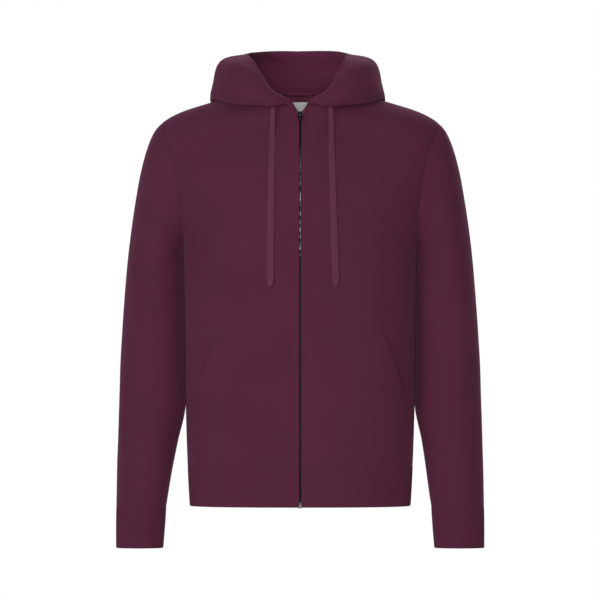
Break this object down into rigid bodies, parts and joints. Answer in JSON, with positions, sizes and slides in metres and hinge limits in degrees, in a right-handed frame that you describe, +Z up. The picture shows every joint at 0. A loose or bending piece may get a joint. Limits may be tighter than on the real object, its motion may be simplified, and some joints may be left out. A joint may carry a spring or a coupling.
{
  "type": "zip up hoodie",
  "caption": "Zip-up fleece hoodie, closed and filled out as worn, hood down, sleeves hanging, with pouch pockets, ribbed cuffs and hem, a flat drawcord and a hinged zip pull tab.",
  "frame": {"origin": "in the middle of the neck opening, at the height of the shoulders, where the wearer holds the garment up", "axes": "+X to the wearer's left, -Y out of the front, +Z up"},
  "size_m": [0.5886, 0.3173, 0.7991],
  "materials": {
    "fleece": "brushed-back sweatshirt fleece, matt",
    "rib": "ribbed knit, matt",
    "eyelet": "sewn eyelet, matt",
    "cord": "flat woven cord, matt",
    "zip_chain": "dark, satin",
    "zip_tape": "woven tape, matt",
    "zip_metal": "dark polished metal",
    "label": "woven label, bare"
  },
  "bodies": {
    "garment": {"back": "fleece", "front_left": "fleece", "front_right": "fleece", "hem_band": "rib", "sleeve_left": "fleece", "sleeve_right": "fleece", "cuff_left": "rib", "cuff_right": "rib", "hood_left": "fleece", "hood_right": "fleece", "pocket_left": "fleece", "pocket_right": "fleece", "eyelet_left": "eyelet", "eyelet_right": "eyelet", "cord_left": "cord", "cord_right": "cord", "zip_chain_left": "zip_chain", "zip_chain_right": "zip_chain", "zip_tape_left": "zip_tape", "zip_tape_right": "zip_tape", "zip_box": "zip_metal", "zip_slider": "zip_metal", "neck_label": "label"},
    "tab": {"pull_tab": "zip_metal"}
  },
  "joints": [
    {"name": "pull_tab_hinge", "type": "hinge", "parent": "garment", "child": "tab", "pos_m": [0, -0.08439, -0.02756], "axis": [-1, 0, 0], "range_deg": [0, 165]}
  ]
}
